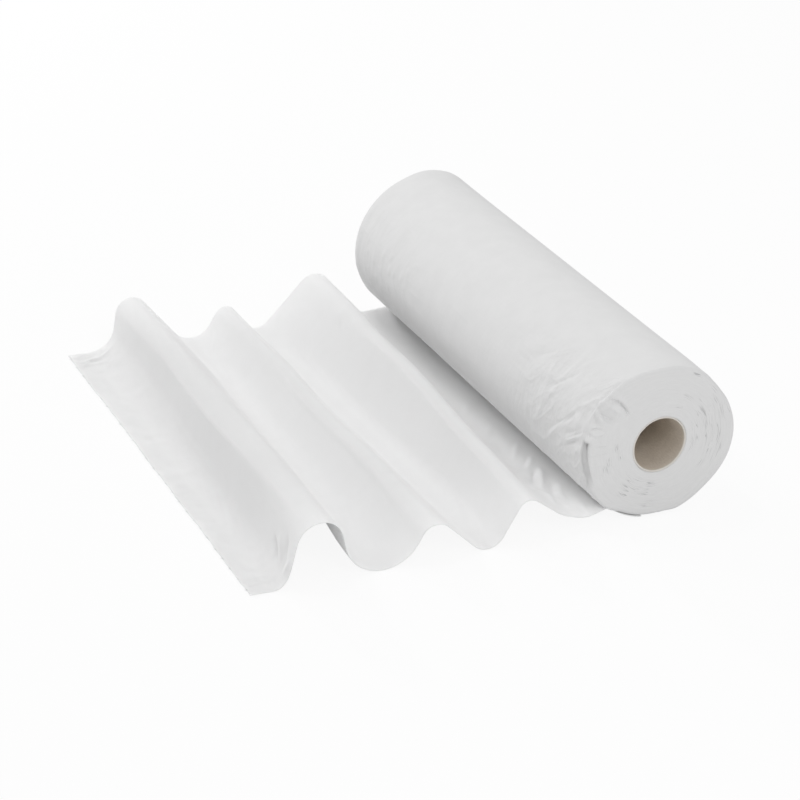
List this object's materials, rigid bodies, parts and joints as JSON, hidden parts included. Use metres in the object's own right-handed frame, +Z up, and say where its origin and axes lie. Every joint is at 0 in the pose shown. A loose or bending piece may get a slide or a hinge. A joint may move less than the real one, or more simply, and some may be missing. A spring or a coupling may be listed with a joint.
{
  "type": "exam table paper roll",
  "caption": "Roll of white exam table paper on a cardboard core, lying on its side, with the loose end pulled out into standing folds.",
  "frame": {"origin": "middle of the flat spot that the roll rests on, at table height, half way along the roll", "axes": "+Y along the roll's axis, +Z up, and the loose sheet runs off toward -X"},
  "size_m": [0.3725, 0.39, 0.119],
  "materials": {
    "core_board": "matte",
    "white_paper": "matte"
  },
  "bodies": {
    "root": {"core": "core_board", "paper_web": "white_paper"}
  },
  "joints": []
}
